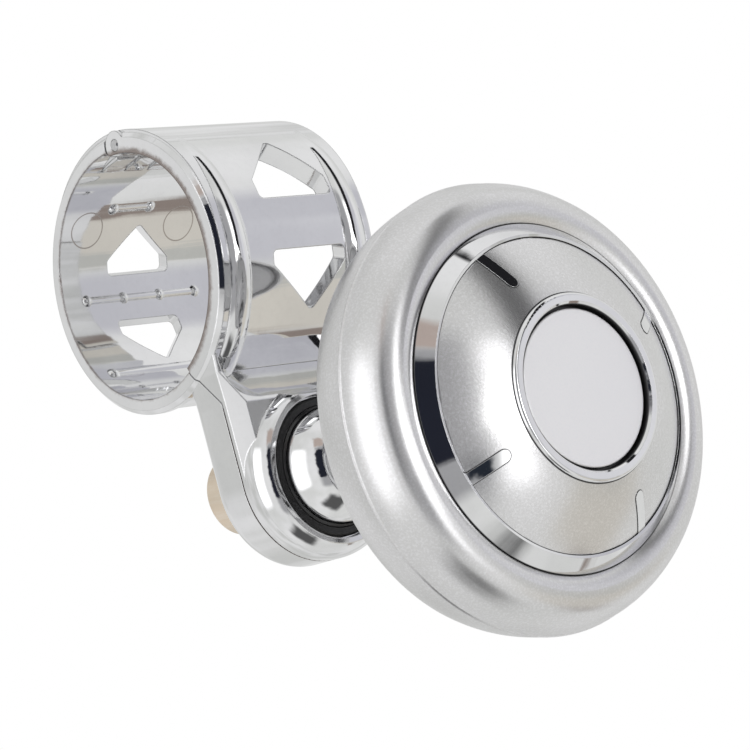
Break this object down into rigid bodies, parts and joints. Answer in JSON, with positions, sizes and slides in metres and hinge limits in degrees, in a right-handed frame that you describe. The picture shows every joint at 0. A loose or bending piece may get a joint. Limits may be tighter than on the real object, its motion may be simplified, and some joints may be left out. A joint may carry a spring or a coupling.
{
  "type": "steering wheel spinner knob",
  "caption": "Chrome steering wheel spinner knob: hinged screw-closed rim clamp with an offset arm, a ball-footed post and a free-turning mushroom knob on a ball bearing",
  "frame": {"origin": "centre of the clamp bore, halfway along the clamp's length", "axes": "+Y runs along the wheel rim through the clamp, +Z points from the wheel toward the driver along the knob's spin axis, +X points from the knob toward the hinge"},
  "size_m": [0.0914, 0.0658, 0.0982],
  "materials": {
    "chrome": "mirror-polished chrome plating",
    "black_rubber": "smooth black",
    "gold_zinc": "pale gold passivated zinc",
    "bearing_steel": "ground steel",
    "cage_steel": "pressed steel",
    "steel": "bright zinc-plated steel",
    "cover_satin": "satin silver",
    "satin_silver": "satin silver with soft reflections",
    "trim_chrome": "polished chrome",
    "pearl_satin": "pearl satin chrome",
    "cap_satin": "fine satin disc"
  },
  "bodies": {
    "clamp": {"front_clamp_half": "chrome", "hinge_pin": "steel", "seat_ring": "black_rubber", "knob_post": "chrome", "bearing_inner_race": "bearing_steel", "retainer_washer": "steel", "post_screw": "steel"},
    "rear_jaw": {"rear_clamp_half": "chrome"},
    "screw": {"clamp_screw": "gold_zinc", "spring_washer": "gold_zinc", "plain_washer": "gold_zinc"},
    "cage": {"bearing_cage": "cage_steel", "bearing_balls": "bearing_steel"},
    "knob": {"rear_cover": "cover_satin", "bearing_outer_race": "bearing_steel", "bearing_shields": "cage_steel", "bearing_plate": "steel", "plate_screws": "steel", "cover_screws": "steel", "rim_shell": "satin_silver", "trim_ring": "trim_chrome", "dome_plate": "pearl_satin", "bezel_ring": "trim_chrome", "centre_cap": "cap_satin"}
  },
  "joints": [
    {"name": "knob_spin", "type": "hinge", "parent": "clamp", "child": "knob", "pos_m": [-0.036, 0, 0.0535], "axis": [0, 0, 1], "continuous": true},
    {"name": "cage_spin", "type": "hinge", "parent": "clamp", "child": "cage", "pos_m": [-0.036, 0, 0.0535], "axis": [0, 0, 1], "continuous": true},
    {"name": "clamp_hinge", "type": "hinge", "parent": "clamp", "child": "rear_jaw", "pos_m": [0.02015, 0, 0.0022], "axis": [0, -1, 0], "range_deg": [0, 55]},
    {"name": "screw_slide", "type": "slide", "parent": "rear_jaw", "child": "screw", "axis": [0, 0, -1], "range_m": [0, 0.0695]}
  ],
  "couplings": [
    {"joint": "cage_spin", "follows": "knob_spin", "ratio": 0.6323},
    {"joint": "screw_slide", "follows": "clamp_hinge", "m_per_rad": 0.072}
  ]
}
